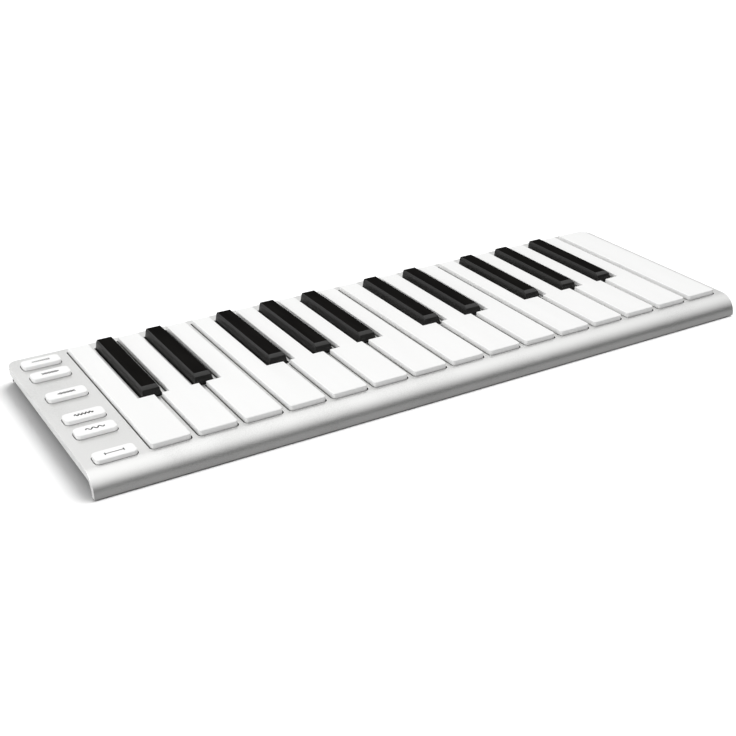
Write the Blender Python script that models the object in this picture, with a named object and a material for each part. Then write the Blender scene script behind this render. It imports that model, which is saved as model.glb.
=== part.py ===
"""A slim 25-note USB keyboard: an aluminium top shell over a plastic tray, with 15 white keys,
10 black keys and 6 function buttons, each in its own cut-out of the top plate.

Frame: metres, +Z up. The origin is on the table, under the middle of the footprint. +X runs to
the high notes, -Y faces the player. The keys turn on one steel rod at the back, and the buttons
slide straight down.
"""

import math

import bmesh
import bpy

MM = 0.001

# Overall size
WIDTH = 388.0 * MM
DEPTH = 136.0 * MM
PLATE_TOP = 11.6 * MM          # top face of the aluminium plate
SHELL_BOTTOM = 0.8 * MM        # lower edge of the front and rear walls
HALF_W = WIDTH / 2
HALF_D = DEPTH / 2

# Shell
NOSE_R = 9.8 * MM              # rounding of the front edge
REAR_R = 1.2 * MM              # rounding of the rear edge
PLAN_R = 8.0 * MM              # rounding of the two rear corners, seen from above
WALL = 3.2 * MM                # front wall
REAR_WALL = 2.6 * MM
PLATE = 2.2 * MM               # plate thickness between the ends
END_RIM = 3.5 * MM             # width of the thick rim at each end
END_THICK = 4.0 * MM           # thickness of the plate at that rim

# Keys
WHITE_COUNT = 15
PITCH = 23.6 * MM
KEYS_LEFT = -164.0 * MM        # left boundary of the first white key
KEYS_FRONT = -57.1 * MM        # front face of the white keys
KEYS_REAR = 61.8 * MM          # rear face of the white keys
SIDE_GAP = 1.95 * MM           # from a note boundary to the white key's side
NOTCH_FRONT = -11.2 * MM       # where a white key narrows beside a black key
NOTCH_HALF = 8.1 * MM          # from a black key's middle to the narrowed side
WHITE_TOP = 14.2 * MM
WHITE_SKIRT = 6.6 * MM         # lower edge of a white key's sides
WHITE_EDGE = 0.3 * MM          # bevel round the top
WHITE_FRONT_R = 1.6 * MM
WHITE_WALL = 1.2 * MM
WHITE_CEILING = 12.6 * MM      # underside of the top skin, inside the key

BLACK_TOP = 16.5 * MM
BLACK_SHOULDER = 15.5 * MM     # where the top bevel meets the sides
BLACK_SKIRT = 7.4 * MM
BLACK_FRONT = -8.7 * MM        # front face at the skirt
BLACK_REAR = 59.4 * MM
BLACK_BASE_HALF = 5.15 * MM
BLACK_SHOULDER_HALF = 4.6 * MM
BLACK_TOP_HALF = 3.5 * MM
BLACK_SHOULDER_FRONT = -7.4 * MM
BLACK_TOP_FRONT = -4.7 * MM
BLACK_WALL = 1.1 * MM
BLACK_CEILING = 14.6 * MM
# Sideways shift of each black key from the boundary that it stands over, by place in the octave
BLACK_SHIFT = {1: -2.14 * MM, 2: 2.14 * MM, 4: -3.28 * MM, 5: 0.0, 6: 3.28 * MM}

KEY_GAP = 0.7 * MM             # clearance of a white key in its cut-out
BLACK_OPEN_HALF = 5.9 * MM
BLACK_OPEN_FRONT = -9.8 * MM
BLACK_OPEN_REAR = 59.9 * MM
BLACK_OPEN_R = 1.5 * MM

# Key pivot
PIVOT_Y = 55.5 * MM
PIVOT_Z = 5.0 * MM
ROD_R = 1.2 * MM
CLIP_BORE_R = 1.5 * MM
CLIP_HALF_LENGTH = 2.6 * MM    # along Y, each way from the rod
CLIP_BOTTOM = 4.0 * MM
CLIP_HALF_WIDTH = 2.8 * MM

# Key stops and contacts
TAB_FRONT = -59.1 * MM         # nose of the tab that stops a white key on its way up
TAB_TOP = 7.4 * MM
TAB_INSET = 3.5 * MM           # from the key's side to the tab's side
PLUNGER_Y = 5.0 * MM           # plunger that presses the contact dome
PLUNGER_HALF = 2.4 * MM
WHITE_PLUNGER = 6.4 * MM
BLACK_PLUNGER = 7.3 * MM

# Buttons
BUTTON_X = -178.35 * MM
BUTTON_YS = [y * MM for y in (-53.6, -27.8, -11.8, 14.0, 39.6, 55.8)]
BUTTON_HALF_W = 10.05 * MM
BUTTON_HALF_D = 4.25 * MM
BUTTON_R = 2.2 * MM
BUTTON_TOP = 13.8 * MM
BUTTON_BOTTOM = 8.1 * MM
BUTTON_EDGE = 0.6 * MM         # rounding round the top
BUTTON_GAP = 0.4 * MM
FLANGE_OUT = 1.2 * MM          # retaining flange, at the left and right ends only
FLANGE_TOP = 9.0 * MM

# Tray and boards
TRAY_HALF_W = 190.4 * MM
TRAY_FRONT = -63.9 * MM
TRAY_SHOULDER = -61.6 * MM     # front end of the tray's high end walls, clear of the shell's rounding
TRAY_REAR = 64.8 * MM
TRAY_BOTTOM = 1.0 * MM
TRAY_FLOOR = 2.4 * MM
TRAY_WALL = 1.6 * MM
TRAY_END_TOP = 7.2 * MM
TRAY_SIDE_TOP = 4.2 * MM
BOARD_BOTTOM = 2.8 * MM
BOARD_TOP = 3.8 * MM
ON_BOARD = 4.1 * MM            # underside of whatever stands on a board

# Fixings and feet
SCREW_FRONT_XS = [x * MM for x in (-184.5, -69.6, 48.4, 184.5)]
SCREW_REAR_XS = [x * MM for x in (-184.5, -69.6, 48.4, 142.8)]     # the last three behind black keys
SCREW_FRONT_Y = -61.4 * MM
SCREW_REAR_Y = 62.8 * MM
SCREW_PLACES = [(x, SCREW_FRONT_Y) for x in SCREW_FRONT_XS]
SCREW_PLACES += [(x, SCREW_REAR_Y) for x in SCREW_REAR_XS]
SCREW_R = 0.9 * MM
SCREW_HEAD_R = 1.5 * MM
SCREW_HEAD_H = 1.1 * MM
SCREW_HEAD_BOTTOM = 1.15 * MM
SCREW_TOP = 7.0 * MM
BOSS_R = 2.0 * MM
BOSS_BOTTOM = 4.6 * MM
PAD_R = 2.3 * MM
PAD_TOP = 4.2 * MM
FOOT_R = 6.0 * MM
FOOT_H = 0.7 * MM
FOOT_X = 172.0 * MM
FOOT_Y = 50.0 * MM

USB_Y = 27.0 * MM
USB_HALF_W = 4.0 * MM
USB_HEIGHT = 2.7 * MM
USB_LENGTH = 5.4 * MM

OVER = 1.0 * MM                # how far a cutter runs past what it cuts

ALUMINIUM = ("aluminium", (0.70, 0.70, 0.69), 0.38, 1.0)
WHITE_PLASTIC = ("white_plastic", (0.90, 0.90, 0.89), 0.30, 0.0)
BLACK_PLASTIC = ("black_plastic", (0.012, 0.011, 0.011), 0.35, 0.0)
BUTTON_PLASTIC = ("button_plastic", (0.91, 0.91, 0.90), 0.35, 0.0)
TRAY_PLASTIC = ("tray_plastic", (0.045, 0.045, 0.047), 0.55, 0.0)
STEEL = ("steel", (0.62, 0.62, 0.63), 0.30, 1.0)
BOARD_GREEN = ("board", (0.02, 0.12, 0.05), 0.45, 0.0)
SILICONE = ("silicone", (0.55, 0.55, 0.56), 0.60, 0.0)
FELT = ("felt", (0.25, 0.04, 0.04), 0.95, 0.0)
RUBBER = ("rubber", (0.03, 0.03, 0.03), 0.85, 0.0)
RIBBON = ("ribbon", (0.75, 0.75, 0.72), 0.50, 0.0)
CHIP = ("chip", (0.02, 0.02, 0.02), 0.40, 0.0)


def material(spec):
    name, colour, roughness, metallic = spec
    found = bpy.data.materials.get(name)
    if found:
        return found
    made = bpy.data.materials.new(name)
    made.use_nodes = True
    shader = made.node_tree.nodes["Principled BSDF"]
    shader.inputs["Base Color"].default_value = (*colour, 1.0)
    shader.inputs["Roughness"].default_value = roughness
    shader.inputs["Metallic"].default_value = metallic
    return made


def finish(bm, name, spec=None, origin=(0.0, 0.0, 0.0)):
    """An object from a mesh given in world coordinates, with its own origin where it turns."""
    bmesh.ops.recalc_face_normals(bm, faces=bm.faces)
    bmesh.ops.translate(bm, verts=bm.verts, vec=[-c for c in origin])
    mesh = bpy.data.meshes.new(name)
    bm.to_mesh(mesh)
    bm.free()
    obj = bpy.data.objects.new(name, mesh)
    obj.location = origin
    bpy.context.scene.collection.objects.link(obj)
    if spec:
        mesh.materials.append(material(spec))
    mesh.shade_smooth()
    mesh.set_sharp_from_angle(angle=math.radians(35))
    return obj


def add_tool(obj, bm, label, operation="DIFFERENCE"):
    """Cuts the closed shapes in bm from the object, or joins them to it."""
    tool = finish(bm, f"{obj.name}_{label.lower()}")
    tool.hide_render = True
    tool.display_type = "WIRE"
    modifier = obj.modifiers.new(label, "BOOLEAN")
    modifier.operation = operation
    modifier.solver = "EXACT"
    modifier.object = tool


def loft(bm, rings):
    """A closed solid through rings of matching points: each ring is (outline, z)."""
    loops = [[bm.verts.new((x, y, z)) for x, y in outline] for outline, z in rings]
    for low, high in zip(loops, loops[1:]):
        for i in range(len(low)):
            j = (i + 1) % len(low)
            bm.faces.new((low[i], low[j], high[j], high[i]))
    bm.faces.new(list(reversed(loops[0])))
    bm.faces.new(loops[-1])


def prism(bm, outline, z0, z1):
    loft(bm, [(outline, z0), (outline, z1)])


def box(bm, x0, x1, y0, y1, z0, z1):
    prism(bm, [(x0, y0), (x1, y0), (x1, y1), (x0, y1)], z0, z1)


def circle(x, y, r, steps):
    return [
        (x + r * math.cos(2 * math.pi * i / steps), y + r * math.sin(2 * math.pi * i / steps))
        for i in range(steps)
    ]


def rod_along_x(bm, x0, x1, y, z, r, steps):
    """A cylinder lying along X."""
    ends = [[bm.verts.new((x, y + a, z + b)) for a, b in circle(0, 0, r, steps)] for x in (x0, x1)]
    for i in range(steps):
        j = (i + 1) % steps
        bm.faces.new((ends[0][i], ends[0][j], ends[1][j], ends[1][i]))
    bm.faces.new(list(reversed(ends[0])))
    bm.faces.new(ends[1])


def rounded(corners, steps=3):
    """An outline whose corners, each (x, y, radius), are rounded. They run anticlockwise."""
    outline = []
    count = len(corners)
    for i, (x, y, r) in enumerate(corners):
        if r == 0:
            outline.append((x, y))
            continue
        px, py, _ = corners[i - 1]
        nx, ny, _ = corners[(i + 1) % count]
        back = math.atan2(py - y, px - x)
        ahead = math.atan2(ny - y, nx - x)
        bx, by = math.cos(back), math.sin(back)
        ax, ay = math.cos(ahead), math.sin(ahead)
        cx, cy = x + r * (bx + ax), y + r * (by + ay)    # right-angled corners only
        for s in range(steps + 1):
            t = 0.5 * math.pi * s / steps
            c, d = math.cos(t), math.sin(t)
            outline.append((cx - r * (ax * c + bx * d), cy - r * (ay * c + by * d)))
    return outline


def offset(outline, distance):
    """The outline moved outwards by distance, with mitred corners."""
    moved = []
    count = len(outline)
    for i, (x, y) in enumerate(outline):
        px, py = outline[i - 1]
        nx, ny = outline[(i + 1) % count]
        l0 = math.hypot(x - px, y - py)
        l1 = math.hypot(nx - x, ny - y)
        n0 = ((y - py) / l0, -(x - px) / l0)
        n1 = ((ny - y) / l1, -(nx - x) / l1)
        k = distance / (1 + n0[0] * n1[0] + n0[1] * n1[1])
        moved.append((x + k * (n0[0] + n1[0]), y + k * (n0[1] + n1[1])))
    return moved


def boundary(index):
    """X of the note boundary to the left of white key number index."""
    return KEYS_LEFT + index * PITCH


def black_x(index):
    """Middle of the black key that stands over a boundary, or None where there is none."""
    if 0 < index < WHITE_COUNT and index % 7 in BLACK_SHIFT:
        return boundary(index) + BLACK_SHIFT[index % 7]
    return None


def white_sides(index):
    """(left, right, left beside a black key, right beside a black key) of a white key."""
    left = boundary(index) + SIDE_GAP
    right = boundary(index + 1) - SIDE_GAP
    before, after = black_x(index), black_x(index + 1)
    tail_left = left if before is None else before + NOTCH_HALF
    tail_right = right if after is None else after - NOTCH_HALF
    return left, right, tail_left, tail_right


def white_outline(index):
    left, right, tail_left, tail_right = white_sides(index)
    r = WHITE_FRONT_R
    corners = [(left, KEYS_FRONT, r), (right, KEYS_FRONT, r)]
    if tail_right != right:
        corners += [(right, NOTCH_FRONT, 0), (tail_right, NOTCH_FRONT, 0)]
    corners += [(tail_right, KEYS_REAR, 0), (tail_left, KEYS_REAR, 0)]
    if tail_left != left:
        corners += [(tail_left, NOTCH_FRONT, 0), (left, NOTCH_FRONT, 0)]
    return rounded(corners)


def hinge_clip(bm, x, ceiling):
    """The block that hangs from a key's skin and clips over the pivot rod."""
    box(
        bm, x - CLIP_HALF_WIDTH, x + CLIP_HALF_WIDTH,
        PIVOT_Y - CLIP_HALF_LENGTH, PIVOT_Y + CLIP_HALF_LENGTH, CLIP_BOTTOM, ceiling + 0.5 * MM,
    )


def plunger(bm, x, bottom, ceiling):
    box(
        bm, x - PLUNGER_HALF, x + PLUNGER_HALF,
        PLUNGER_Y - PLUNGER_HALF, PLUNGER_Y + PLUNGER_HALF, bottom, ceiling + 0.5 * MM,
    )


def finish_key(bm, name, spec, x, pocket, additions):
    """A hollow key, with its clip and plunger joined on and the rod's bore cut through the clip."""
    key = finish(bm, name, spec, origin=(x, PIVOT_Y, PIVOT_Z))
    add_tool(key, pocket, "Pocket")
    add_tool(key, additions, "Inside", "UNION")
    bore = bmesh.new()
    reach = 2 * CLIP_HALF_WIDTH
    rod_along_x(bore, x - reach, x + reach, PIVOT_Y, PIVOT_Z, CLIP_BORE_R, 12)
    add_tool(key, bore, "Bore")


def make_white_key(index):
    outline = white_outline(index)
    bm = bmesh.new()
    loft(bm, [
        (outline, WHITE_SKIRT), (outline, WHITE_TOP - WHITE_EDGE),
        (offset(outline, -WHITE_EDGE), WHITE_TOP),
    ])

    left, right, tail_left, tail_right = white_sides(index)
    pocket = bmesh.new()
    prism(pocket, offset(outline, -WHITE_WALL), WHITE_SKIRT - OVER, WHITE_CEILING)

    middle = (tail_left + tail_right) / 2
    additions = bmesh.new()
    hinge_clip(additions, middle, WHITE_CEILING)
    plunger(additions, middle, WHITE_PLUNGER, WHITE_CEILING)
    tab_inner = KEYS_FRONT + WHITE_WALL / 2
    box(additions, left + TAB_INSET, right - TAB_INSET, TAB_FRONT, tab_inner, WHITE_SKIRT, TAB_TOP)
    finish_key(bm, f"white_key_{index + 1:02d}", WHITE_PLASTIC, middle, pocket, additions)


def black_ring(x, half, front, rear):
    return [(x - half, front), (x + half, front), (x + half, rear), (x - half, rear)]


def make_black_key(number, x):
    bm = bmesh.new()
    base = black_ring(x, BLACK_BASE_HALF, BLACK_FRONT, BLACK_REAR)
    shoulder = black_ring(x, BLACK_SHOULDER_HALF, BLACK_SHOULDER_FRONT, BLACK_REAR)
    top = black_ring(x, BLACK_TOP_HALF, BLACK_TOP_FRONT, BLACK_REAR)
    loft(bm, [(base, BLACK_SKIRT), (base, PLATE_TOP), (shoulder, BLACK_SHOULDER), (top, BLACK_TOP)])

    pocket = bmesh.new()
    inner = BLACK_TOP_HALF
    front, rear = BLACK_FRONT + 2 * BLACK_WALL, BLACK_REAR - BLACK_WALL
    prism(pocket, black_ring(x, inner, front, rear), BLACK_SKIRT - OVER, BLACK_CEILING)

    additions = bmesh.new()
    hinge_clip(additions, x, BLACK_CEILING)
    plunger(additions, x, BLACK_PLUNGER, BLACK_CEILING)
    finish_key(bm, f"black_key_{number:02d}", BLACK_PLASTIC, x, pocket, additions)


def button_outline(y, grow=0.0):
    half_w, half_d = BUTTON_HALF_W, BUTTON_HALF_D
    r = BUTTON_R
    corners = [
        (BUTTON_X - half_w, y - half_d, r), (BUTTON_X + half_w, y - half_d, r),
        (BUTTON_X + half_w, y + half_d, r), (BUTTON_X - half_w, y + half_d, r),
    ]
    return offset(rounded(corners), grow) if grow else rounded(corners)


def make_button(number, y):
    bm = bmesh.new()
    outline = button_outline(y)
    rings = [(outline, BUTTON_BOTTOM), (outline, BUTTON_TOP - BUTTON_EDGE)]
    for t in (math.radians(45), math.radians(90)):
        inset = BUTTON_EDGE * (1 - math.cos(t))
        rings.append((offset(outline, -inset), BUTTON_TOP - BUTTON_EDGE * (1 - math.sin(t))))
    loft(bm, rings)
    button = finish(bm, f"button_{number}", BUTTON_PLASTIC, origin=(BUTTON_X, y, BUTTON_BOTTOM))
    flange = bmesh.new()
    half_w = BUTTON_HALF_W + FLANGE_OUT
    half_d = BUTTON_HALF_D - BUTTON_R
    box(flange, BUTTON_X - half_w, BUTTON_X + half_w, y - half_d, y + half_d, BUTTON_BOTTOM, FLANGE_TOP)
    add_tool(button, flange, "Flange", "UNION")


def side_profile(inset_front, inset_rear, top, nose, rear_r, bottom):
    """(y, z) points of the shell's section, from the lower front edge over the top to the back."""
    front, rear = -HALF_D + inset_front, HALF_D - inset_rear
    points = [(front, bottom)]
    steps = 8
    for i in range(steps + 1):
        t = 0.5 * math.pi * i / steps
        points.append((front + nose * (1 - math.cos(t)), PLATE_TOP - NOSE_R + nose * math.sin(t)))
    if top > points[-1][1]:
        points.append((points[-1][0] + (top - points[-1][1]), top))
    for i in range(4):
        t = 0.5 * math.pi * i / 3
        points.append((rear - rear_r * (1 - math.sin(t)), top - rear_r * (1 - math.cos(t))))
    points.append((rear, bottom))
    return points


def extrude_x(bm, section, x0, x1):
    """A prism along X from (y, z) points."""
    ends = [[bm.verts.new((x, y, z)) for y, z in section] for x in (x0, x1)]
    count = len(section)
    for i in range(count):
        j = (i + 1) % count
        bm.faces.new((ends[0][i], ends[0][j], ends[1][j], ends[1][i]))
    bm.faces.new(list(reversed(ends[0])))
    bm.faces.new(ends[1])


def make_shell():
    bm = bmesh.new()
    extrude_x(bm, side_profile(0, 0, PLATE_TOP, NOSE_R, REAR_R, SHELL_BOTTOM), -HALF_W, HALF_W)
    shell = finish(bm, "top_shell", ALUMINIUM)

    plan = bmesh.new()
    far = 2 * HALF_W
    prism(plan, rounded([
        (-HALF_W, -far, 0), (HALF_W, -far, 0), (HALF_W, HALF_D, PLAN_R), (-HALF_W, HALF_D, PLAN_R)
    ], steps=5), -PLATE_TOP, 2 * PLATE_TOP)
    add_tool(shell, plan, "Plan", "INTERSECT")

    ends = bmesh.new()           # the thick rims at the ends, open to the sides
    rim_section = side_profile(WALL, REAR_WALL, PLATE_TOP - END_THICK, NOSE_R - WALL, MM, -OVER)
    rim_section = [(y, min(z, PLATE_TOP - END_THICK)) for y, z in rim_section]
    extrude_x(ends, dedupe(rim_section), -HALF_W - OVER, HALF_W + OVER)
    add_tool(shell, ends, "Ends")

    hollow = bmesh.new()         # the deeper hollow between the rims
    inner = side_profile(WALL, REAR_WALL, PLATE_TOP - PLATE, NOSE_R - WALL, MM, -2 * OVER)
    extrude_x(hollow, inner, -HALF_W + END_RIM, HALF_W - END_RIM)
    add_tool(shell, hollow, "Hollow")

    bosses = bmesh.new()
    for x, y in SCREW_PLACES:
        prism(bosses, circle(x, y, BOSS_R, 10), BOSS_BOTTOM, boss_top(y))
    add_tool(shell, bosses, "Bosses", "UNION")

    openings = bmesh.new()
    low, high = PLATE_TOP - 2 * PLATE, PLATE_TOP + OVER
    for index in range(WHITE_COUNT):
        prism(openings, offset(white_outline(index), KEY_GAP), low, high)
    for x in filter(None, map(black_x, range(WHITE_COUNT))):
        r = BLACK_OPEN_R
        prism(openings, rounded([
            (x - BLACK_OPEN_HALF, BLACK_OPEN_FRONT, r), (x + BLACK_OPEN_HALF, BLACK_OPEN_FRONT, r),
            (x + BLACK_OPEN_HALF, BLACK_OPEN_REAR, 0), (x - BLACK_OPEN_HALF, BLACK_OPEN_REAR, 0)
        ]), low, high)
    for y in BUTTON_YS:
        prism(openings, button_outline(y, BUTTON_GAP), low, high)
    add_tool(shell, openings, "Openings")

    pilots = bmesh.new()
    for x, y in SCREW_PLACES:
        prism(pilots, circle(x, y, SCREW_R + 0.3 * MM, 8), BOSS_BOTTOM - OVER, SCREW_TOP + 0.3 * MM)
    add_tool(shell, pilots, "Pilots")


def boss_top(y):
    """A height inside the shell's skin, above a boss at y."""
    return PLATE_TOP - PLATE + 0.5 * MM if y > 0 else PLATE_TOP - 2.7 * MM


def dedupe(points):
    """The points without repeats and without middle points of straight runs."""
    kept = []
    for p in points:
        if not kept or math.dist(kept[-1], p) > 1e-6:
            kept.append(p)
    return [
        p for i, p in enumerate(kept)
        if not (kept[i - 1][1] == p[1] == kept[(i + 1) % len(kept)][1])
    ]


def make_tray():
    w = TRAY_HALF_W
    bm = bmesh.new()
    box(bm, -w, w, TRAY_FRONT, TRAY_REAR, TRAY_BOTTOM, TRAY_END_TOP)
    tray = finish(bm, "base_tray", TRAY_PLASTIC)

    inside = bmesh.new()
    box(
        inside, -w + TRAY_WALL, w - TRAY_WALL, TRAY_FRONT + TRAY_WALL / 2, TRAY_REAR - TRAY_WALL / 2,
        TRAY_FLOOR, TRAY_END_TOP + OVER,
    )
    add_tool(tray, inside, "Inside")

    low_sides = bmesh.new()      # the front and rear walls, and the ends' front corners, stand lower
    inner_w, outer_w = w - TRAY_WALL / 2, w + OVER
    beyond, shoulder, inner_y = TRAY_FRONT - OVER, TRAY_SHOULDER, TRAY_FRONT + 2 * TRAY_WALL
    prism(low_sides, [
        (-outer_w, beyond), (outer_w, beyond), (outer_w, shoulder), (inner_w, shoulder),
        (inner_w, inner_y), (-inner_w, inner_y), (-inner_w, shoulder), (-outer_w, shoulder),
    ], TRAY_SIDE_TOP, TRAY_END_TOP + 2 * OVER)
    box(
        low_sides, -inner_w, inner_w, TRAY_REAR - 2 * TRAY_WALL, TRAY_REAR + OVER,
        TRAY_SIDE_TOP, TRAY_END_TOP + 2 * OVER,
    )
    add_tool(tray, low_sides, "Lowered")

    usb = bmesh.new()
    half = USB_HALF_W + 0.5 * MM
    box(
        usb, -w - OVER, -w + TRAY_WALL + OVER, USB_Y - half, USB_Y + half,
        ON_BOARD - 0.4 * MM, TRAY_END_TOP + OVER,
    )
    add_tool(tray, usb, "Usb")

    pads = bmesh.new()
    seats = bmesh.new()
    head_seat = SCREW_HEAD_BOTTOM + SCREW_HEAD_H + 0.3 * MM
    for x, y in SCREW_PLACES:
        prism(pads, circle(x, y, PAD_R, 10), TRAY_BOTTOM + 0.2 * MM, PAD_TOP)
        wide = circle(x, y, SCREW_HEAD_R + 0.3 * MM, 10)
        narrow = circle(x, y, SCREW_R + 0.4 * MM, 10)
        loft(seats, [
            (wide, TRAY_BOTTOM - OVER), (wide, head_seat), (narrow, head_seat),
            (narrow, PAD_TOP + OVER),
        ])
    add_tool(tray, pads, "Pads", "UNION")
    add_tool(tray, seats, "Seats")


def make_screw(number, x, y):
    bm = bmesh.new()
    neck = SCREW_HEAD_BOTTOM + SCREW_HEAD_H
    head, shank = circle(x, y, SCREW_HEAD_R, 10), circle(x, y, SCREW_R, 10)
    loft(bm, [(head, SCREW_HEAD_BOTTOM), (head, neck), (shank, neck), (shank, SCREW_TOP)])
    finish(bm, f"tray_screw_{number}", STEEL, origin=(x, y, SCREW_HEAD_BOTTOM))


def make_foot(name, x, y):
    bm = bmesh.new()
    edge = 0.2 * MM
    loft(bm, [
        (circle(x, y, FOOT_R - edge, 16), 0.0), (circle(x, y, FOOT_R, 16), edge),
        (circle(x, y, FOOT_R, 16), FOOT_H),
    ])
    finish(bm, name, RUBBER, origin=(x, y, 0.0))


def make_block(name, spec, x0, x1, y0, y1, z0, z1):
    bm = bmesh.new()
    box(bm, x0, x1, y0, y1, z0, z1)
    return finish(bm, name, spec)


def make_key_frame():
    """The rear rail, with ribs between groups of keys that carry the pivot rod."""
    x0, x1 = boundary(0) - 1.4 * MM, boundary(WHITE_COUNT) - 2.5 * MM
    frame = make_block("key_frame", STEEL, x0, x1, 51.5 * MM, 58.9 * MM, 2.7 * MM, 3.4 * MM)
    ribs = bmesh.new()
    bores = bmesh.new()
    rib_half = 0.8 * MM
    places = [x0 + rib_half] + [boundary(i) for i in (3, 7, 10, 14)]
    for x in places:
        box(ribs, x - rib_half, x + rib_half, 52.5 * MM, 58.5 * MM, 3.1 * MM, 7.6 * MM)
        rod_along_x(bores, x - OVER, x + OVER, PIVOT_Y, PIVOT_Z, ROD_R + 0.2 * MM, 12)
    add_tool(frame, ribs, "Ribs", "UNION")
    add_tool(frame, bores, "Bores")


def make_rod():
    bm = bmesh.new()
    x0, x1 = boundary(0) - 1.4 * MM, boundary(WHITE_COUNT) - 1.7 * MM
    rod_along_x(bm, x0, x1, PIVOT_Y, PIVOT_Z, ROD_R, 12)
    finish(bm, "pivot_rod", STEEL, origin=(0.0, PIVOT_Y, PIVOT_Z))


def plunger_xs():
    whites = [sum(white_sides(i)[2:]) / 2 for i in range(WHITE_COUNT)]
    return whites + [x for x in map(black_x, range(WHITE_COUNT)) if x is not None]


def make_contact_strip():
    """The silicone strip on the main board, with one squat dome under each key."""
    x0, x1 = boundary(0) + 2 * MM, boundary(WHITE_COUNT) - 4 * MM
    strip = make_block(
        "contact_strip", SILICONE, x0, x1, PLUNGER_Y - 5 * MM, PLUNGER_Y + 5 * MM, ON_BOARD, 4.5 * MM
    )
    domes = bmesh.new()
    for x in plunger_xs():
        loft(domes, [
            (circle(x, PLUNGER_Y, 3.2 * MM, 8), ON_BOARD + 0.2 * MM),
            (circle(x, PLUNGER_Y, 2.2 * MM, 8), 4.95 * MM),
        ])
    add_tool(strip, domes, "Domes", "UNION")


def make_membrane():
    """The silicone keypad under the buttons, with one pad for each."""
    x0, x1 = BUTTON_X - 5.4 * MM, BUTTON_X + 8.0 * MM
    sheet = make_block(
        "button_membrane", SILICONE, x0, x1, BUTTON_YS[0] - 3.6 * MM, BUTTON_YS[-1] + 2.9 * MM,
        ON_BOARD, 4.6 * MM,
    )
    pads = bmesh.new()
    for y in BUTTON_YS:
        loft(pads, [
            (circle(BUTTON_X, y, 3.4 * MM, 12), 4.4 * MM), (circle(BUTTON_X, y, 2.6 * MM, 12), 7.1 * MM)
        ])
    add_tool(sheet, pads, "Pads", "UNION")


def make_usb():
    """The socket's steel shell, open at the tray's left end."""
    x0 = -TRAY_HALF_W + 0.3 * MM
    x1 = x0 + USB_LENGTH
    half = USB_HALF_W
    socket = make_block(
        "usb_socket", STEEL, x0, x1, USB_Y - half, USB_Y + half, ON_BOARD, ON_BOARD + USB_HEIGHT
    )
    mouth = bmesh.new()
    wall = 0.4 * MM
    box(
        mouth, x0 - OVER, x1 - MM, USB_Y - half + wall, USB_Y + half - wall,
        ON_BOARD + wall, ON_BOARD + USB_HEIGHT - wall,
    )
    add_tool(socket, mouth, "Mouth")
    tongue = bmesh.new()
    mid, thick, half = ON_BOARD + USB_HEIGHT / 2, 0.3 * MM, 2.6 * MM
    box(tongue, x0 + MM, x1 - 0.5 * MM, USB_Y - half, USB_Y + half, mid - thick, mid + thick)
    add_tool(socket, tongue, "Tongue", "UNION")


def main():
    for obj in list(bpy.data.objects):
        bpy.data.objects.remove(obj, do_unlink=True)
    make_shell()
    make_tray()
    for index in range(WHITE_COUNT):
        make_white_key(index)
    blacks = [x for x in map(black_x, range(WHITE_COUNT)) if x is not None]
    for number, x in enumerate(blacks, start=1):
        make_black_key(number, x)
    for number, y in enumerate(BUTTON_YS, start=1):
        make_button(number, y)

    make_key_frame()
    make_rod()
    make_contact_strip()
    make_membrane()
    make_usb()
    keys_right = boundary(WHITE_COUNT)
    make_block(
        "main_board", BOARD_GREEN, KEYS_LEFT + MM, keys_right - 3 * MM,
        -49 * MM, 50 * MM, BOARD_BOTTOM, BOARD_TOP,
    )
    make_block(
        "button_board", BOARD_GREEN, -187.5 * MM, -169 * MM,
        -57.5 * MM, 58.5 * MM, BOARD_BOTTOM, BOARD_TOP,
    )
    make_block("control_chip", CHIP, -156 * MM, -148 * MM, 26 * MM, 34 * MM, ON_BOARD, 5.1 * MM)
    make_block("ribbon_link", RIBBON, -170 * MM, -158 * MM, -14 * MM, -2 * MM, ON_BOARD, 4.4 * MM)
    make_block(
        "down_stop_felt", FELT, KEYS_LEFT + 2 * MM, keys_right - 3 * MM,
        -55.5 * MM, -50.5 * MM, TRAY_FLOOR + 0.3 * MM, 3.7 * MM,
    )
    make_block(
        "up_stop_felt", FELT, KEYS_LEFT + 2 * MM, keys_right - 3 * MM,
        TAB_FRONT, TAB_FRONT + 1.2 * MM, TAB_TOP + 0.3 * MM, 8.05 * MM,
    )
    for number, (x, y) in enumerate(SCREW_PLACES, start=1):
        make_screw(number, x, y)
    for side, x in (("left", -FOOT_X), ("right", FOOT_X)):
        for end, y in (("front", -FOOT_Y), ("rear", FOOT_Y)):
            make_foot(f"foot_{end}_{side}", x, y)


main()
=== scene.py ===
"""Looks of a slim 25-note USB keyboard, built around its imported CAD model.

Every visible CAD node is replaced by a copy of itself with softly rounded edges, and gets a
procedural material. Lengths are in metres, in the CAD frame: +X to the high notes, +Y away from
the player, +Z up.
"""
import math

import bmesh
import bpy
from mathutils import Matrix, Vector


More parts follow.
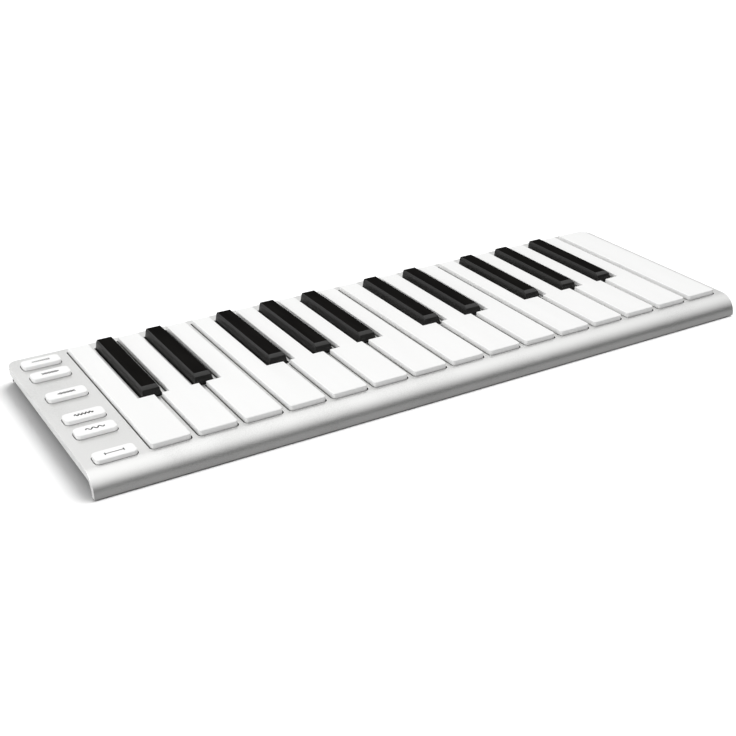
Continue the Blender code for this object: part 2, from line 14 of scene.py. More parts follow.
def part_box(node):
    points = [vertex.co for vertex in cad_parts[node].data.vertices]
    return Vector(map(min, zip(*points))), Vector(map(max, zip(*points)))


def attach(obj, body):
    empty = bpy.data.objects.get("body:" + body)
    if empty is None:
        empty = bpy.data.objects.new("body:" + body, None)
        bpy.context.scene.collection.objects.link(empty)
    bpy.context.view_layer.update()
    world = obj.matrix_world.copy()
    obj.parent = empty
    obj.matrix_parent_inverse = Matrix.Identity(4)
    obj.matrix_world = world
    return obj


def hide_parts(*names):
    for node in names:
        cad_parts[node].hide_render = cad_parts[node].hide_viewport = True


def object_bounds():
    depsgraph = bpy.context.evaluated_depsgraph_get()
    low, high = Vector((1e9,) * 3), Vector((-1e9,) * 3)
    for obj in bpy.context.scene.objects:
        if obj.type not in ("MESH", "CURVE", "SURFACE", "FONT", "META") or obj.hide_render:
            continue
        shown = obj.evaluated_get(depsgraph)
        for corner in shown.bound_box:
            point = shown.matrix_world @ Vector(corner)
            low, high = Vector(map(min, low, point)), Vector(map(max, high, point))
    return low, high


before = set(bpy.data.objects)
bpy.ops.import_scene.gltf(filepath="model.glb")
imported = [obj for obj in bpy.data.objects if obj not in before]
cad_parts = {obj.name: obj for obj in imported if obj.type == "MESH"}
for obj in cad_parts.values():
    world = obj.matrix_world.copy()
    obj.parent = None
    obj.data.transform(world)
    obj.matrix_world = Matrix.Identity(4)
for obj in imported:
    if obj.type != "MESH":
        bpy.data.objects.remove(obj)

MM = 0.001
SHARP = math.radians(28)           # edges that turn by more than this are rounded
CRISP = math.radians(50)           # and those that turn by more than this afterwards stay hard

# Camera, fitted to the photograph
CAMERA_TARGET = Vector((-35.74, -36.4, 11.6)) * MM
CAMERA_DISTANCE = 618.8 * MM
CAMERA_AZIMUTH = -30.678          # degrees round +Z, from straight in front
CAMERA_ELEVATION = 26.230
CAMERA_ROLL = -0.307
CAMERA_LENS = 58.84               # millimetres, on a 36 mm sensor

# Light
FLOOR_SEEN = 0.60                 # how light the floor is to the camera
FLOOR_BOUNCE = 0.17               # and to everything else, as if dark cards lay round the object
SKY_TOP = 1.35                    # brightness straight overhead
SKY_BY_HEIGHT = ((0.0, 0.36), (0.16, 0.38), (0.45, 0.62), (0.68, 0.80), (0.84, 0.94), (1.0, 1.0))
SKY_BACK = 0.40                   # extra brightness towards the back
SKY_RIGHT = -0.35                 # and less of it towards the right
SKY_LEAST = 0.02
FLOOR_REACH = 6.0                 # half the floor's width
FLOOR_SUN_PLACE = (2.4, 0.3, 2.8)
FLOOR_SUN_SPREAD = math.radians(60)
FLOOR_SUN_STRENGTH = 4.8
LEFT_FILL_PLACE = (-2.0, -0.9, 0.5)
LEFT_FILL_SIZE = (1.2, 1.2)
LEFT_FILL_POWER = 6.5
EDGE_LIGHT_PLACE = (-1.4, 0.5, 0.25)
EDGE_LIGHT_SIZE = (0.8, 0.5)
EDGE_LIGHT_POWER = 16.0

# Places on the CAD model that the materials follow
PLATE_TOP = 11.6 * MM
ON_END = 0.01 * MM                # how near the shell's end face a point lies to be on it
END_FOOT = 1.5 * MM               # the end face's outline is crisp below this height
NOTCH_FRONT = -11.2 * MM          # where the white keys narrow beside the black ones
BLACK_TOP = 16.5 * MM
BLACK_BEVEL = 1.0 * MM            # height of the bevel under it
BLACK_TOP_FILL = 1.13             # width of the black keys' top, as a share of the CAD's
BLACK_SHOULDER_FILL = 0.97        # and of the shoulder below its bevel

# How far each piece's edges are rounded
SHELL_EDGE = 0.2 * MM
SHELL_END_EDGE = 0.6 * MM         # the upper outline of the shell's two end faces
TRAY_EDGE = 0.15 * MM
WHITE_KEY_EDGE = 0.14 * MM
BLACK_KEY_EDGE = 0.2 * MM
BUTTON_EDGE = 0.15 * MM
FOOT_EDGE = 0.1 * MM
SCREW_EDGE = 0.08 * MM

# Painted shade on the white walls, by height, darker low down in their cut-outs: (height, share of the
# plastic's own colour)
WALL_PAINTED_SHADE = (
    (9.0 * MM, 0.08), (11.2 * MM, 0.27), (11.55 * MM, 0.70), (11.9 * MM, 0.98), (12.6 * MM, 1.0),
    (14.0 * MM, 1.0),
)
# The same painted shade, for the key fronts
FRONT_PAINTED_SHADE = (
    (9.0 * MM, 0.10), (11.2 * MM, 0.50), (11.55 * MM, 0.95), (11.9 * MM, 1.0), (14.0 * MM, 1.0),
)
# Deeper painted shade, for the walls beside the black keys
NOTCH_PAINTED_SHADE = (
    (9.0 * MM, 0.04), (11.2 * MM, 0.12), (11.8 * MM, 0.50), (12.3 * MM, 0.90), (12.9 * MM, 1.0),
    (14.0 * MM, 1.0),
)

# Print on the buttons
PRINT_LINE = 0.6 * MM
PRINT_HEIGHT = 1.5 * MM
PRINT_LENGTH = 9.0 * MM
PRINT_LIFT = 0.02 * MM

cad_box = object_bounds()


# ---------------------------------------------------------------- materials


class Shader:
    """A small helper that builds one node material."""

    def __init__(self, name):
        self.material = bpy.data.materials.new(name)
        self.material.use_nodes = True
        self.tree = self.material.node_tree
        self.surface = self.tree.nodes["Principled BSDF"]
        self.place = self.tree.nodes.new("ShaderNodeTexCoord").outputs["Object"]

    def set(self, **values):
        for socket, value in values.items():
            self.surface.inputs[socket.replace("_", " ")].default_value = value
        return self

    def link(self, output, socket):
        self.tree.links.new(output, self.surface.inputs[socket])

    def node(self, kind, inputs=None, **settings):
        made = self.tree.nodes.new(kind)
        for key, value in settings.items():
            setattr(made, key, value)
        for key, value in (inputs or {}).items():
            if hasattr(value, "is_linked"):
                self.tree.links.new(value, made.inputs[key])
            else:
                made.inputs[key].default_value = value
        return made

    def stretched(self, scale):
        """Object coordinates multiplied along each axis."""
        return self.node("ShaderNodeMapping", {"Vector": self.place, "Scale": scale}).outputs["Vector"]

    def noise(self, scale, detail=3.0, roughness=0.5, vector=None):
        return self.node(
            "ShaderNodeTexNoise",
            {"Vector": vector or self.place, "Scale": scale, "Detail": detail, "Roughness": roughness},
        ).outputs["Fac"]

    def ramp(self, factor, low, high, start=0.3, end=0.7):
        """Maps a factor to a colour between low and high."""
        made = self.node("ShaderNodeValToRGB", {"Fac": factor})
        first, last = made.color_ramp.elements
        first.position, last.position = start, end
        first.color, last.color = (*low, 1.0), (*high, 1.0)
        return made.outputs["Color"]

    def span(self, factor, low, high, start=0.3, end=0.7):
        """Maps a factor to a number between low and high."""
        return self.node("ShaderNodeMapRange", {
            "Value": factor, "From Min": start, "From Max": end, "To Min": low, "To Max": high,
        }).outputs["Result"]

    def steps(self, value, points):
        """Maps a length through (length, level) points, from low to high."""
        first, last = points[0][0], points[-1][0]
        made = self.node("ShaderNodeValToRGB", {"Fac": self.span(value, 0.0, 1.0, first, last)})
        elements = made.color_ramp.elements
        while len(elements) < len(points):
            elements.new(0.5)
        for element, (length, level) in zip(elements, points):
            element.position = (length - first) / (last - first)
            element.color = (level, level, level, 1.0)
        return made.outputs["Color"]

    def bump(self, height, distance, strength=1.0):
        inputs = {"Height": height, "Distance": distance, "Strength": strength}
        return self.node("ShaderNodeBump", inputs).outputs["Normal"]


def anodised_aluminium():
    """Bead-blasted and anodised: a fine even grain, and a very faint cloudiness."""
    s = Shader("anodised_aluminium").set(Metallic=1.0)
    cloud = s.noise(22.0, detail=2.0)
    grain = s.noise(1500.0, detail=3.0, roughness=0.75)
    tone = s.node("ShaderNodeMath", {0: cloud, 1: grain}, operation="ADD").outputs["Value"]
    s.link(s.ramp(tone, (0.680, 0.680, 0.672), (0.760, 0.760, 0.752), 0.8, 1.2), "Base Color")
    s.link(s.span(grain, 0.30, 0.42), "Roughness")
    s.link(s.bump(grain, 0.00003, 0.5), "Normal")
    return s.material


def milled_edge():
    """The sawn and brushed ends of the aluminium profile, with fine lines along Y. Their paler colour is
    partly painted light that brightens the ends.
    """
    s = Shader("milled_edge").set(Metallic=0.55)
    lines = s.noise(1500.0, detail=3.0, vector=s.stretched((1.0, 0.06, 1.0)))
    # painted light in part: a paler colour than the anodised skin
    s.link(s.ramp(lines, (0.80, 0.80, 0.79), (0.88, 0.88, 0.87)), "Base Color")
    s.link(s.span(lines, 0.30, 0.45), "Roughness")
    s.link(s.bump(lines, 0.00002, 0.5), "Normal")
    return s.material


def shaded_punched_wall():
    """The walls of the cut-outs: dull aluminium, painted near black as shade, so the gaps round the keys
    look dark.
    """
    s = Shader("shaded_punched_wall").set(Metallic=0.6)
    lines = s.noise(1200.0, detail=2.0, vector=s.stretched((1.0, 1.0, 0.1)))
    # painted shade: a near-black colour for aluminium
    s.link(s.ramp(lines, (0.10, 0.10, 0.10), (0.16, 0.16, 0.16)), "Base Color")
    s.link(s.span(lines, 0.5, 0.65), "Roughness")
    return s.material


def white_plastic(name, low, high, painted_shade=None):
    """Moulded white plastic with a satin skin and faint flow marks.

    Its last argument gives (height, share) pairs, which paint shade on a wall low down in its cut-out.
    """
    s = Shader(name).set(Coat_Weight=0.12, Coat_Roughness=0.2, Specular_IOR_Level=0.5)
    flow = s.noise(26.0, detail=2.0, vector=s.stretched((4.0, 0.6, 1.0)))
    skin = s.noise(1500.0, detail=2.0)
    colour = s.ramp(flow, low, high)
    # painted shade: the colour is darkened by height in the piece's own frame
    if painted_shade:
        height = s.node("ShaderNodeSeparateXYZ", {"Vector": s.place}).outputs["Z"]
        share = s.steps(height, painted_shade)
        colour = s.node(
            "ShaderNodeVectorMath", {0: colour, 1: share}, operation="MULTIPLY"
        ).outputs["Vector"]
    s.link(colour, "Base Color")
    s.link(s.span(skin, 0.28, 0.38), "Roughness")
    s.link(s.bump(skin, 0.000012, 0.35), "Normal")
    return s.material


def black_key_plastic(name, gloss, rough):
    """Moulded black plastic: matt where gloss is 0, and satin where it is more.

    gloss is the specular level, and rough is the least roughness.
    """
    s = Shader(name).set(Specular_IOR_Level=gloss)
    skin = s.noise(2600.0, detail=3.0, roughness=0.6)
    rub = s.noise(60.0, detail=3.0, vector=s.stretched((2.0, 0.4, 1.0)))
    s.link(s.ramp(rub, (0.0070, 0.0066, 0.0064), (0.0110, 0.0104, 0.0098)), "Base Color")
    s.link(s.span(rub, rough, rough + 0.1), "Roughness")
    s.link(s.bump(skin, 0.00002, 0.45), "Normal")
    return s.material


def tray_plastic():
    """Spark-textured dark grey plastic."""
    s = Shader("tray_plastic")
    cells = s.node("ShaderNodeTexVoronoi", {"Vector": s.place, "Scale": 1600.0}).outputs["Distance"]
    patch = s.noise(35.0, detail=3.0)
    s.link(s.ramp(patch, (0.030, 0.030, 0.032), (0.042, 0.042, 0.044)), "Base Color")
    s.link(s.span(patch, 0.52, 0.66), "Roughness")
    s.link(s.bump(cells, 0.00005, 0.6), "Normal")
    return s.material


def plated_steel():
    """Drawn and plated steel: fine scratches along X."""
    s = Shader("plated_steel").set(Metallic=1.0)
    lines = s.noise(900.0, detail=3.0, vector=s.stretched((0.05, 1.0, 1.0)))
    s.link(s.ramp(lines, (0.56, 0.56, 0.57), (0.66, 0.66, 0.67)), "Base Color")
    s.link(s.span(lines, 0.22, 0.38), "Roughness")
    s.link(s.bump(lines, 0.00001, 0.5), "Normal")
    return s.material


def rubber():
    s = Shader("rubber").set(Specular_IOR_Level=0.3)
    grain = s.noise(1200.0, detail=3.0)
    s.link(s.ramp(grain, (0.016, 0.016, 0.016), (0.028, 0.028, 0.028)), "Base Color")
    s.link(s.span(grain, 0.75, 0.9), "Roughness")
    s.link(s.bump(grain, 0.00004, 0.6), "Normal")
    return s.material


def circuit_board():
    """Green solder mask with a weave of traces under it."""
    s = Shader("circuit_board").set(Coat_Weight=0.4, Coat_Roughness=0.15, Roughness=0.4)
    traces = s.node("ShaderNodeTexBrick", {
        "Vector": s.place, "Scale": 160.0, "Mortar Size": 0.03,
        "Color1": (0.010, 0.085, 0.035, 1.0), "Color2": (0.012, 0.095, 0.040, 1.0),
        "Mortar": (0.020, 0.160, 0.060, 1.0),
    })
    s.link(traces.outputs["Color"], "Base Color")
    s.link(s.bump(traces.outputs["Fac"], 0.00003, 0.4), "Normal")
    return s.material


def silicone():
    s = Shader("silicone").set(Subsurface_Weight=0.3, Subsurface_Radius=(0.002, 0.002, 0.002))
    dust = s.noise(300.0, detail=4.0)
    s.link(s.ramp(dust, (0.42, 0.42, 0.43), (0.52, 0.52, 0.53)), "Base Color")
    s.link(s.span(dust, 0.55, 0.75), "Roughness")
    s.link(s.bump(dust, 0.00002, 0.4), "Normal")
    return s.material


def felt():
    s = Shader("felt").set(Sheen_Weight=0.6, Sheen_Roughness=0.6, Roughness=0.95)
    fibres = s.noise(1400.0, detail=5.0, roughness=0.75, vector=s.stretched((1.0, 0.35, 1.0)))
    s.link(s.ramp(fibres, (0.16, 0.018, 0.018), (0.30, 0.045, 0.040)), "Base Color")
    s.link(s.bump(fibres, 0.0003, 0.9), "Normal")
    return s.material


def chip_epoxy():
    s = Shader("chip_epoxy")
    grain = s.noise(2400.0, detail=2.0)
    s.link(s.ramp(grain, (0.014, 0.014, 0.014), (0.022, 0.022, 0.022)), "Base Color")
    s.link(s.span(grain, 0.45, 0.6), "Roughness")
    s.link(s.bump(grain, 0.00002, 0.4), "Normal")
    return s.material


def ribbon_cable():
    """A flat cable: parallel conductors show as fine lines across it."""
    s = Shader("ribbon_cable").set(Roughness=0.45)
    cores = s.node("ShaderNodeTexWave", {"Vector": s.place, "Scale": 260.0}, bands_direction="Y")
    s.link(s.ramp(cores.outputs["Fac"], (0.55, 0.55, 0.53), (0.78, 0.78, 0.75)), "Base Color")
    s.link(s.bump(cores.outputs["Fac"], 0.0001, 0.6), "Normal")
    return s.material


def button_print():
    """Thin dark ink, slightly uneven."""
    s = Shader("button_print")
    ink = s.noise(900.0, detail=4.0)
    s.link(s.ramp(ink, (0.04, 0.04, 0.04), (0.08, 0.08, 0.08)), "Base Color")
    s.link(s.span(ink, 0.45, 0.6), "Roughness")
    return s.material


# ---------------------------------------------------------------- geometry


def flat_faces(source, cuts, low_cuts):
    """A CAD mesh with its triangles merged into flat faces.

    A face with a hole in it can't be one polygon, so the mesh is first cut across at each X in
    cuts and low_cuts, and those cut lines stay, except that faces looking up lose the low ones.
    """
    bm = bmesh.new()
    bm.from_mesh(source.data)
    bmesh.ops.remove_doubles(bm, verts=bm.verts, dist=0.002 * MM)
    for x in [*cuts, *low_cuts]:
        made = bmesh.ops.bisect_plane(
            bm, geom=bm.verts[:] + bm.edges[:] + bm.faces[:], dist=0.001 * MM,
            plane_co=(x, 0, 0), plane_no=(1, 0, 0),
        )
        for part in made["geom_cut"]:
            if isinstance(part, bmesh.types.BMEdge):
                part.seam = x in cuts or all(face.normal.z < 0.5 for face in part.link_faces)
    bmesh.ops.dissolve_limit(
        bm, angle_limit=math.radians(0.5), use_dissolve_boundaries=False,
        verts=bm.verts, edges=bm.edges, delimit={"SEAM"},
    )
    return bm


def round_edges(bm, width, segments, wanted):
    """Rounds the sharp edges that pass the test, leaving those with too little room beside them.

    One edge without room would otherwise narrow the rounding of the whole piece.
    """
    roomy = {v for v in bm.verts if all(e.calc_length() > 1.5 * width for e in v.link_edges)}
    edges = [
        e for e in bm.edges if len(e.link_faces) == 2 and e.calc_face_angle() > SHARP
        and wanted(e) and roomy.issuperset(e.verts)
    ]
    bmesh.ops.bevel(
        bm, geom=edges, offset=width, offset_type="OFFSET", segments=segments, profile=0.5,
        affect="EDGES", clamp_overlap=True,
    )


def soften(
    node, body, materials, width, segments=2, cuts=(), low_cuts=(), pick=None, wider=None,
    wanted=lambda edge: True, reshape=None,
):
    """A piece that stands for a CAD node: the same shape with its edges rounded.

    reshape is a last small change to the flat faces. wider, a (width, test) pair, first gives the
    edges that pass its test a wider rounding; the other edges that pass the wanted test are then
    rounded by width. pick chooses a material's place in materials from a face.
    """
    bm = flat_faces(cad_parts[node], cuts, low_cuts)
    if reshape:
        reshape(bm)
    if wider:
        round_edges(bm, wider[0], 3, wider[1])
    round_edges(bm, width, segments, wanted)
    bm.normal_update()
    for face in bm.faces:
        face.smooth = True
        face.material_index = pick(face) if pick else 0
    for edge in bm.edges:
        edge.smooth = edge.calc_face_angle(0.0) < CRISP
    mesh = bpy.data.meshes.new(f"{node}_fine")
    bm.to_mesh(mesh)
    bm.free()
    for material in materials:
        mesh.materials.append(material)
    piece = bpy.data.objects.new(mesh.name, mesh)
    bpy.context.scene.collection.objects.link(piece)
    weighted = piece.modifiers.new("Weighted", "WEIGHTED_NORMAL")
    weighted.keep_sharp = True
    weighted.weight = 80
    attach(piece, body)
    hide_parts(node)
    return piece


def carry(node, material):
    """Keeps a CAD node as it is and gives it a better material."""
    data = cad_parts[node].data
    data.materials.clear()
    data.materials.append(material)


# ---------------------------------------------------------------- the object


def middle_x(node):
    low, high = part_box(node)
    return round((low.x + high.x) / 2, 6)


def nearest(places, x):
    """The place that x nearly coincides with, or x itself: two close cuts would leave slivers."""
    close = [place for place in places if abs(place - x) < MM]
    return close[0] if close else x


def bar(bm, x0, y0, x1, y1, thick):
    """A flat printed stroke between two points, lying at z = 0."""
    along = Vector((x1 - x0, y1 - y0, 0.0)).normalized() * thick / 2
    across = Vector((-along.y, along.x, 0.0))
    ends = Vector((x0, y0, 0.0)) - along, Vector((x1, y1, 0.0)) + along
    corners = ends[0] - across, ends[1] - across, ends[1] + across, ends[0] + across
    bm.faces.new([bm.verts.new(c) for c in corners])


def wave(bm, length, height, turns, thick):
    """A printed sine wave about the middle."""
    steps = 12 * turns
    points = [
        (length * (i / steps - 0.5), height / 2 * math.sin(2 * math.pi * turns * i / steps))
        for i in range(steps + 1)
    ]
    for (x0, y0), (x1, y1) in zip(points, points[1:]):
        bar(bm, x0, y0, x1, y1, thick)


def chevron(bm, x, size, thick):
    """A printed arrow head about x. It points right where size is positive."""
    bar(bm, x - size / 2, abs(size) / 2, x + size / 2, 0.0, thick)
    bar(bm, x + size / 2, 0.0, x - size / 2, -abs(size) / 2, thick)


def draw_mark(bm, number):
    """A generic sign for each button, drawn about the origin."""
    t, h = PRINT_LINE, PRINT_HEIGHT
    if number == 1:                         # a held line between two stops
        bar(bm, -3.9 * MM, 0.0, 3.9 * MM, 0.0, t)
        for x in (-4.4 * MM, 4.4 * MM):
            bar(bm, x, -h / 2, x, h / 2, t)
    elif number in (2, 3):                  # a slow and a quick wave
        wave(bm, PRINT_LENGTH, h, 2 * number - 1, t)
    elif number in (4, 5):                  # down and up by a step
        sign = 1 if number == 5 else -1
        for x in (-3.4 * MM, -1.7 * MM, 0.0, 1.7 * MM, 3.4 * MM):
            chevron(bm, x, sign * h, t)
    else:                                   # level marks
        for i in range(9):
            x = (i - 4) * 1.05 * MM
            tall = h * (0.35 + 0.65 * i / 8)
            bar(bm, x, -tall / 2, x, tall / 2, t)


def add_marks(ink):
    """The printed sign on each button's top."""
    for number in range(1, 7):
        name = f"button_{number}"
        low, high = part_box(name)
        bm = bmesh.new()
        draw_mark(bm, number)
        place = Vector(((low.x + high.x) / 2, (low.y + high.y) / 2, high.z + PRINT_LIFT))
        bmesh.ops.translate(bm, verts=bm.verts, vec=place)
        mesh = bpy.data.meshes.new(f"{name}_mark")
        bm.to_mesh(mesh)
        bm.free()
        mesh.materials.append(ink)
        mark = bpy.data.objects.new(mesh.name, mesh)
        bpy.context.scene.collection.objects.link(mark)
        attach(mark, name)


def shell_face(face):
    """Place of a shell face's material: the skin, the milled ends, or the walls of a cut-out."""
    low, high = cad_box
    place = face.calc_center_median()
    inside = low.x + 3 * MM < place.x < high.x - 3 * MM and low.y + 2 * MM < place.y < high.y - 3 * MM
    if abs(face.normal.x) > 0.3 and not inside:
        return 1
    return 2 if inside and abs(face.normal.z) < 0.3 and place.z > PLATE_TOP - 5 * MM else 0


def at_shell_end(edge):
    """Whether an edge runs along the upper outline of one of the shell's two ends."""
    low, high = cad_box
    ends = [min(v.co.x - low.x, high.x - v.co.x) for v in edge.verts]
    outer = any(
        abs(face.normal.x) < 0.9 and (face.normal.z > 0.05 or face.normal.y < -0.05)
        for face in edge.link_faces
    )
    return outer and max(ends) < ON_END and min(v.co.z for v in edge.verts) > END_FOOT


def off_shell_end(edge):
    """Whether an edge lies clear of the shell's two end faces, whose lower edges are crisp."""
    low, high = cad_box
    return any(low.x + ON_END < v.co.x < high.x - ON_END for v in edge.verts)


def fill_black_top(bm):
    """Makes a black key's top a little wider than the CAD's, over a narrower bevel."""
    middle = sum(v.co.x for v in bm.verts) / len(bm.verts)
    slack = 0.1 * MM
    for v in bm.verts:
        if v.co.z > BLACK_TOP - slack:
            v.co.x = middle + (v.co.x - middle) * BLACK_TOP_FILL
        elif v.co.z > BLACK_TOP - BLACK_BEVEL - slack:
            v.co.x = middle + (v.co.x - middle) * BLACK_SHOULDER_FILL


def button_face(face):
    """Place of a button's face: the top, or a wall."""
    return 0 if face.normal.z > 0.3 else 1


def white_key_face(face):
    """Place of a white key's face: the top, the front, a wall beside a black key, or another."""
    if face.normal.z > 0.6:
        return 0
    if face.normal.y < -0.6:
        return 3
    # walls beside a black key take the deeper painted shade
    beside = abs(face.normal.x) > 0.6 and min(v.co.y for v in face.verts) > NOTCH_FRONT - MM
    return 2 if beside else 1


def black_key_face(face):
    """Place of a black key's face: top, bevel, wall, or the bevel on the right, which is duller."""
    normal = face.normal
    if normal.z > 0.98:
        return 0
    if normal.z > 0.4:
        return 3 if normal.x > 0.3 else 1
    return 2


def dress():
    # The key tops get a darker white than the walls, fronts and buttons of the same plastic: painted
    # shade that holds back the strong light on the tops
    key_top_shaded_white = (0.885, 0.885, 0.879), (0.905, 0.905, 0.900)
    bright = (0.925, 0.925, 0.920), (0.945, 0.945, 0.940)
    whites_skin = [
        white_plastic("white_key_top", *key_top_shaded_white),
        # The walls, the walls beside black keys and the fronts carry painted shade low down
        white_plastic("white_key_wall_painted_shade", *bright, painted_shade=WALL_PAINTED_SHADE),
        white_plastic("white_key_notch_painted_shade", *bright, painted_shade=NOTCH_PAINTED_SHADE),
        white_plastic("white_key_front", *bright, painted_shade=FRONT_PAINTED_SHADE),
    ]
    # The buttons' walls carry painted shade low down
    button = [
        white_plastic("button_top", *bright), white_plastic("button_wall_painted_shade", *bright, painted_shade=WALL_PAINTED_SHADE),
    ]
    blacks_skin = [
        black_key_plastic("black_key_top", 0.0, 0.5), black_key_plastic("black_key_bevel", 0.36, 0.35),
        black_key_plastic("black_key_side", 0.4, 0.3), black_key_plastic("black_key_dull", 0.0, 0.5),
    ]
    metal = [anodised_aluminium(), milled_edge(), shaded_punched_wall()]
    tray, steel, foot = tray_plastic(), plated_steel(), rubber()
    board, soft, cloth = circuit_board(), silicone(), felt()
    whites = [f"white_key_{i:02d}" for i in range(1, 16)]
    blacks = [f"black_key_{i:02d}" for i in range(1, 11)]
    buttons = [f"button_{i}" for i in range(1, 7)]
    screws = [f"tray_screw_{i}" for i in range(1, 9)]
    bosses = sorted({middle_x(name) for name in screws})
    openings = {nearest(bosses, middle_x(name)) for name in [buttons[0]] + whites + blacks}
    soften(
        "top_shell", "chassis", metal, SHELL_EDGE, cuts=sorted(openings),
        low_cuts=[x for x in bosses if x not in openings], pick=shell_face,
        wider=(SHELL_END_EDGE, at_shell_end), wanted=off_shell_end,
    )
    soften("base_tray", "chassis", [tray], TRAY_EDGE, cuts=bosses)
    for name in whites:
        soften(
            name, name, whites_skin, WHITE_KEY_EDGE, cuts=[middle_x(name)],
            pick=white_key_face,
        )
    for name in blacks:
        soften(
            name, name, blacks_skin, BLACK_KEY_EDGE, 3, cuts=[middle_x(name)],
            pick=black_key_face, reshape=fill_black_top,
        )
    for name in buttons:
        soften(name, name, button, BUTTON_EDGE, pick=button_face)
    add_marks(button_print())
    for place in ("front_left", "front_right", "rear_left", "rear_right"):
        soften(f"foot_{place}", "chassis", [foot], FOOT_EDGE)
    for name in screws:
        soften(name, "chassis", [steel], SCREW_EDGE)
    for name in ("key_frame", "pivot_rod", "usb_socket"):
        carry(name, steel)
    for name in ("main_board", "button_board"):
        carry(name, board)
    for name in ("contact_strip", "button_membrane"):
        carry(name, soft)
    for name in ("down_stop_felt", "up_stop_felt"):
        carry(name, cloth)
    carry("control_chip", chip_epoxy())
    carry("ribbon_link", ribbon_cable())


# ---------------------------------------------------------------- the stage


def add_camera():
    az, el = math.radians(CAMERA_AZIMUTH), math.radians(CAMERA_ELEVATION)
    roll = math.radians(CAMERA_ROLL)
    back = Vector((math.sin(az) * math.cos(el), -math.cos(az) * math.cos(el), math.sin(el)))
    right = Vector((math.cos(az), math.sin(az), 0.0))
    up = back.cross(right)
    x_axis = right * math.cos(roll) + up * math.sin(roll)
    y_axis = up * math.cos(roll) - right * math.sin(roll)
    data = bpy.data.cameras.new("camera")
    data.lens = CAMERA_LENS
    data.sensor_width = 36.0
    data.clip_start, data.clip_end = 0.01, 50.0
    camera = bpy.data.objects.new("camera", data)
    rotation = Matrix((x_axis, y_axis, back)).transposed().to_4x4()
    camera.matrix_world = Matrix.Translation(CAMERA_TARGET + back * CAMERA_DISTANCE) @ rotation
    bpy.context.scene.collection.objects.link(camera)
    bpy.context.scene.camera = camera


def aim_light(data, place, lit):
    """Puts a light at place, aimed at the origin, and lets it light only the objects in lit."""
    light = bpy.data.objects.new(data.name, data)
    light.location = place
    light.rotation_euler = Vector(place).to_track_quat("Z", "Y").to_euler()
    bpy.context.scene.collection.objects.link(light)
    group = bpy.data.collections.new(f"{data.name}_lit")
    for obj in lit:
        group.objects.link(obj)
    light.light_linking.receiver_collection = group


def add_area(name, place, size, power, lit):
    data = bpy.data.lights.new(name, "AREA")
    data.shape = "RECTANGLE"
    data.size, data.size_y = size
    data.energy = power
    aim_light(data, place, lit)


def add_sun(name, place, spread, strength, lit):
    data = bpy.data.lights.new(name, "SUN")
    data.angle = spread
    data.energy = strength
    aim_light(data, place, lit)


def add_floor():
    """A pale floor. It looks white, and it bounces less light than that onto the object."""
    bm = bmesh.new()
    bmesh.ops.create_grid(bm, x_segments=8, y_segments=8, size=FLOOR_REACH)
    mesh = bpy.data.meshes.new("floor")
    bm.to_mesh(mesh)
    bm.free()
    s = Shader("floor_white").set(Roughness=0.9, Specular_IOR_Level=0.0)
    light, dark = [FLOOR_SEEN + 0.005] * 3, [FLOOR_SEEN - 0.005] * 3
    paper = s.ramp(s.noise(3.0), dark, light)
    seen = s.node("ShaderNodeLightPath").outputs["Is Camera Ray"]
    tone = s.node("ShaderNodeMix", data_type="RGBA")
    s.tree.links.new(seen, tone.inputs["Factor"])
    tone.inputs[6].default_value = (FLOOR_BOUNCE, FLOOR_BOUNCE, FLOOR_BOUNCE, 1.0)
    s.tree.links.new(paper, tone.inputs[7])
    s.link(tone.outputs[2], "Base Color")
    mesh.materials.append(s.material)
    floor = bpy.data.objects.new("floor", mesh)
    bpy.context.scene.collection.objects.link(floor)
    return floor


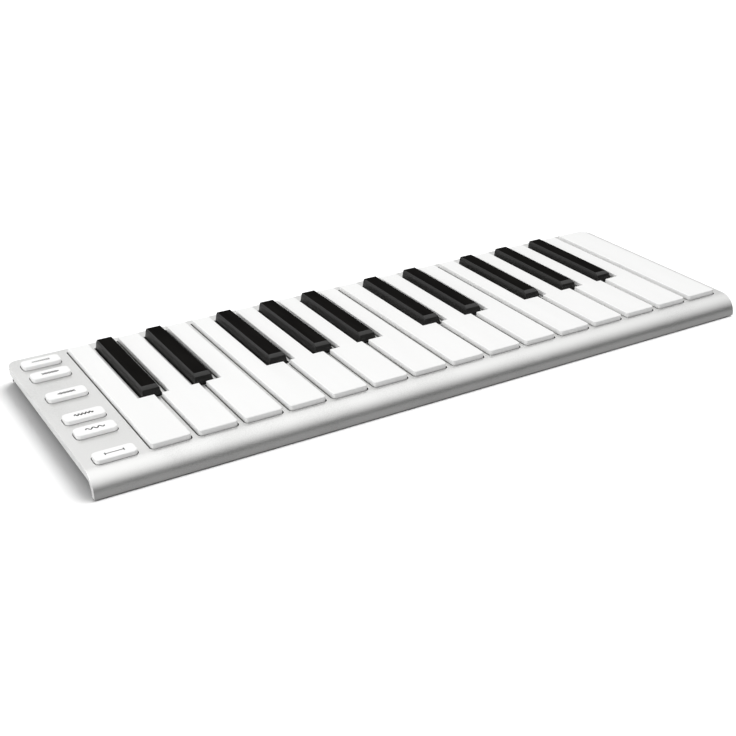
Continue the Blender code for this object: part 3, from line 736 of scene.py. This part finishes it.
def add_sky():
    """Soft light from all round: brightest overhead, dimmer near the horizon in front.

    Seen directly, as above the floor's far edge, it is plain white.
    """
    world = bpy.data.worlds.new("studio")
    world.use_nodes = True
    tree = world.node_tree
    direction = tree.nodes.new("ShaderNodeTexCoord").outputs["Generated"]
    split = tree.nodes.new("ShaderNodeSeparateXYZ")
    tree.links.new(direction, split.inputs["Vector"])

    def math_node(operation, first, second):
        made = tree.nodes.new("ShaderNodeMath")
        made.operation = operation
        for socket, value in zip(made.inputs, (first, second)):
            if isinstance(value, float):
                socket.default_value = value
            else:
                tree.links.new(value, socket)
        return made.outputs["Value"]

    height = tree.nodes.new("ShaderNodeFloatCurve")
    tree.links.new(split.outputs["Z"], height.inputs["Value"])
    curve = height.mapping.curves[0]
    curve.points[0].location = SKY_BY_HEIGHT[0]
    curve.points[1].location = SKY_BY_HEIGHT[-1]
    for z, level in SKY_BY_HEIGHT[1:-1]:
        curve.points.new(z, level)
    height.mapping.update()
    overhead = math_node("MULTIPLY", height.outputs["Value"], SKY_TOP)
    back = math_node("MULTIPLY", split.outputs["Y"], SKY_BACK)
    side = math_node("MULTIPLY", split.outputs["X"], SKY_RIGHT)
    lean = math_node("ADD", back, side)
    low = math_node("SUBTRACT", 1.0, split.outputs["Z"])
    total = math_node("ADD", overhead, math_node("MULTIPLY", lean, low))
    background = tree.nodes["Background"]
    seen = tree.nodes.new("ShaderNodeLightPath").outputs["Is Camera Ray"]
    tree.links.new(
        math_node("MAXIMUM", math_node("MAXIMUM", total, SKY_LEAST), seen), background.inputs["Strength"]
    )
    background.inputs["Color"].default_value = (1.0, 1.0, 1.0, 1.0)
    bpy.context.scene.world = world


def add_stage():
    pieces = [o for o in bpy.context.scene.objects if o.type == "MESH"]
    shell = [o for o in pieces if o.name.startswith("top_shell")]
    pale = [o for o in pieces if not o.name.startswith("black_key")]
    floor = add_floor()
    add_sky()
    add_sun("floor_light", FLOOR_SUN_PLACE, FLOOR_SUN_SPREAD, FLOOR_SUN_STRENGTH, [floor])
    add_area("left_fill", LEFT_FILL_PLACE, LEFT_FILL_SIZE, LEFT_FILL_POWER, pale)
    add_area("edge_light", EDGE_LIGHT_PLACE, EDGE_LIGHT_SIZE, EDGE_LIGHT_POWER, shell)


dress()
add_camera()
add_stage()
bpy.context.scene.view_settings.view_transform = "Standard"

bpy.context.view_layer.update()
